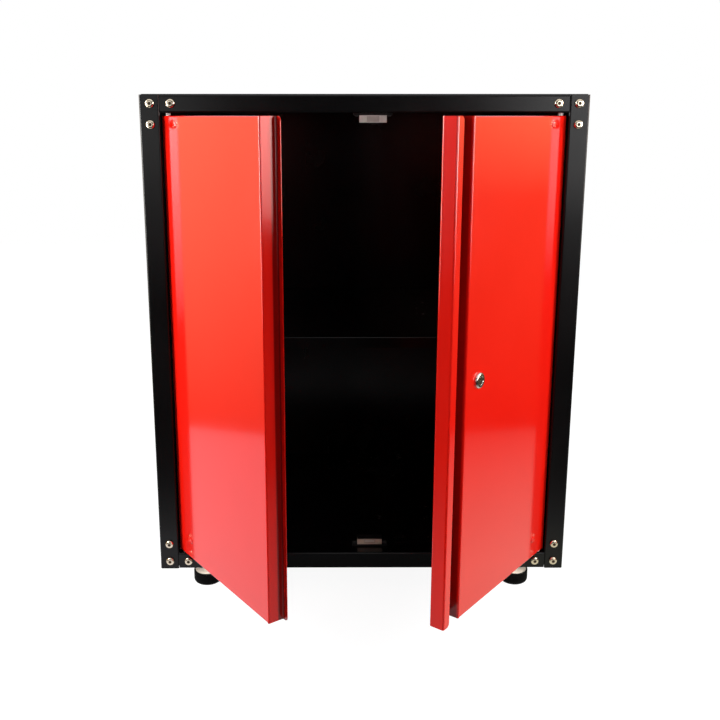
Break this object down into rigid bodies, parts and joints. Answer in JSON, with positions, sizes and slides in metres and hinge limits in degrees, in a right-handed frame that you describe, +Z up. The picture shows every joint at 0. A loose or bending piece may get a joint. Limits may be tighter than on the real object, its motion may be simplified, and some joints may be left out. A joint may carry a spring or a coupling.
{
  "type": "workshop cabinet",
  "caption": "Free-standing steel workshop cabinet with a bolted black frame, pivot-hung red folded doors, finger-pull channel, cylinder lock, magnetic catches, shelf and levelling feet.",
  "frame": {"origin": "on the floor, under the middle of the cabinet body's footprint", "axes": "+X to the right as seen from the front, +Y to the back, +Z up"},
  "size_m": [0.68, 0.7011, 0.825],
  "materials": {
    "frame_black": "satin black powder coat",
    "door_red": "gloss red powder coat",
    "bright_plate": "bright plated",
    "zinc": "zinc-plated steel",
    "magnet": "ferrite magnet with steel pole faces",
    "white_nylon": "natural nylon",
    "black_plastic": "moulded black plastic",
    "foot_rubber": "black rubber"
  },
  "bodies": {
    "cabinet": {"back_panel": "frame_black", "bottom_catch_base": "black_plastic", "bottom_catch_case": "zinc", "bottom_catch_magnet": "magnet", "corner_gussets": "frame_black", "floor_panel": "frame_black", "foot_nuts": "zinc", "front_bottom_rail": "frame_black", "front_corner_bolts": "bright_plate", "front_left_post": "frame_black", "front_right_post": "frame_black", "front_top_rail": "frame_black", "left_side_panel": "frame_black", "pivot_bushes": "white_nylon", "rear_bottom_rail": "frame_black", "rear_left_post": "frame_black", "rear_right_post": "frame_black", "rear_top_rail": "frame_black", "right_side_panel": "frame_black", "shelf": "frame_black", "shelf_rests": "frame_black", "top_catch_base": "black_plastic", "top_catch_case": "zinc", "top_catch_magnet": "magnet", "top_panel": "frame_black"},
    "left_door": {"left_door_panel": "door_red", "left_hinge_plates": "zinc"},
    "right_door": {"right_door_panel": "door_red", "right_hinge_plates": "zinc", "lock_housing": "bright_plate", "lock_nut": "zinc"},
    "lock": {"lock_plug": "bright_plate", "lock_cam": "zinc", "cam_screw": "zinc"},
    "front_left_foot": {"front_left_foot_base": "foot_rubber", "front_left_foot_stem": "zinc"},
    "front_right_foot": {"front_right_foot_base": "foot_rubber", "front_right_foot_stem": "zinc"},
    "rear_left_foot": {"rear_left_foot_base": "foot_rubber", "rear_left_foot_stem": "zinc"},
    "rear_right_foot": {"rear_right_foot_base": "foot_rubber", "rear_right_foot_stem": "zinc"}
  },
  "joints": [
    {"name": "left_door_hinge", "type": "hinge", "parent": "cabinet", "child": "left_door", "pos_m": [-0.298, -0.222, 0.435], "axis": [0, 0, -1], "range_deg": [-54.4, 50.6]},
    {"name": "right_door_hinge", "type": "hinge", "parent": "cabinet", "child": "right_door", "pos_m": [0.298, -0.222, 0.435], "axis": [0, 0, 1], "range_deg": [-51.7, 53.3]},
    {"name": "lock_turn", "type": "hinge", "parent": "right_door", "child": "lock", "pos_m": [0.15661, -0.41233, 0.4315], "axis": [-0.7848, 0.6198, 0], "range_deg": [0, 90]},
    {"name": "front_left_foot_height", "type": "slide", "parent": "cabinet", "child": "front_left_foot", "axis": [0, 0, -1], "range_m": [-0.006, 0.01]},
    {"name": "front_right_foot_height", "type": "slide", "parent": "cabinet", "child": "front_right_foot", "axis": [0, 0, -1], "range_m": [-0.006, 0.01]},
    {"name": "rear_left_foot_height", "type": "slide", "parent": "cabinet", "child": "rear_left_foot", "axis": [0, 0, -1], "range_m": [-0.006, 0.01]},
    {"name": "rear_right_foot_height", "type": "slide", "parent": "cabinet", "child": "rear_right_foot", "axis": [0, 0, -1], "range_m": [-0.006, 0.01]}
  ]
}
